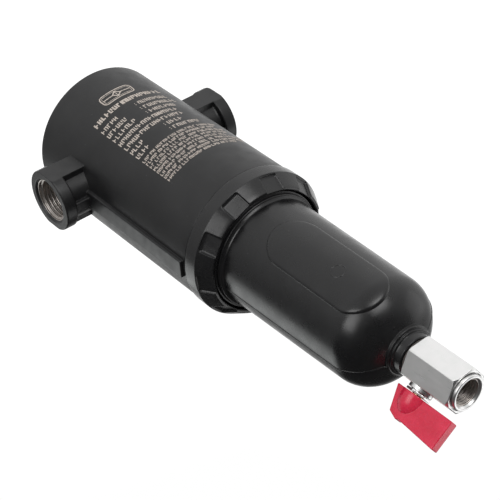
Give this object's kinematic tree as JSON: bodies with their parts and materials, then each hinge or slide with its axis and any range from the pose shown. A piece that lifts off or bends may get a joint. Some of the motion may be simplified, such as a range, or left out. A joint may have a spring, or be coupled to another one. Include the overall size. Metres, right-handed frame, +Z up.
{
  "type": "moisture separator",
  "caption": "Black aluminium moisture separator for compressed air, with side ports, a clamp ring, a removable bowl over a wire mesh element, and a ball drain valve with a red handle.",
  "frame": {"origin": "where the vessel's vertical axis crosses the line through both ports", "axes": "+Z up along the vessel to the closed head, +X along the pipe line from the inlet port to the outlet port, -Y out of the printed side"},
  "size_m": [0.098, 0.0692, 0.2535],
  "materials": {
    "black_paint": "satin black coating on cast aluminium",
    "black_ring": "satin black, slightly rougher than the vessel",
    "rubber": "black nitrile rubber",
    "stainless": "stainless steel",
    "knitted_wire": "knitted stainless wire, mostly air",
    "plating": "nickel plated brass",
    "brass": "turned brass",
    "white_plastic": "white low friction plastic",
    "red_plastic": "red moulded plastic",
    "fibre": "dark fibre"
  },
  "bodies": {
    "head": {"head_casting": "black_paint", "element_top_cap": "stainless", "element_o_ring": "rubber", "element_outer_screen": "stainless", "element_mesh_pad": "knitted_wire", "element_inner_tube": "stainless", "element_bottom_cap": "stainless", "tie_rod": "stainless", "tie_rod_washer": "stainless", "tie_rod_nut": "stainless"},
    "bowl": {"bowl": "black_paint", "bowl_o_ring": "rubber", "drain_washer": "fibre", "valve_body": "plating", "valve_end_insert": "plating", "ball_seat_upper": "white_plastic", "ball_seat_lower": "white_plastic", "stem_seal": "white_plastic", "gland_nut": "plating"},
    "slip_washer": {"slip_washer": "white_plastic"},
    "clamp_ring": {"clamp_ring": "black_ring"},
    "drain_handle": {"valve_handle": "red_plastic", "valve_stem": "brass", "valve_ball": "plating"}
  },
  "joints": [
    {"name": "bowl_drop", "type": "slide", "parent": "head", "child": "bowl", "axis": [0, 0, -1], "range_m": [0, 0.06]},
    {"name": "ring_advance", "type": "slide", "parent": "bowl", "child": "slip_washer", "axis": [0, 0, -1], "range_m": [0, 0.0135]},
    {"name": "ring_turn", "type": "hinge", "parent": "slip_washer", "child": "clamp_ring", "pos_m": [0, 0, -0.09], "axis": [0, 0, -1], "range_deg": [0, 1600]},
    {"name": "drain_quarter_turn", "type": "hinge", "parent": "bowl", "child": "drain_handle", "pos_m": [0, 0, -0.2033], "axis": [0.829, -0.5592, 0], "range_deg": [0, 90]}
  ],
  "couplings": [
    {"joint": "ring_advance", "follows": "ring_turn", "m_per_rad": 0.00047746}
  ]
}
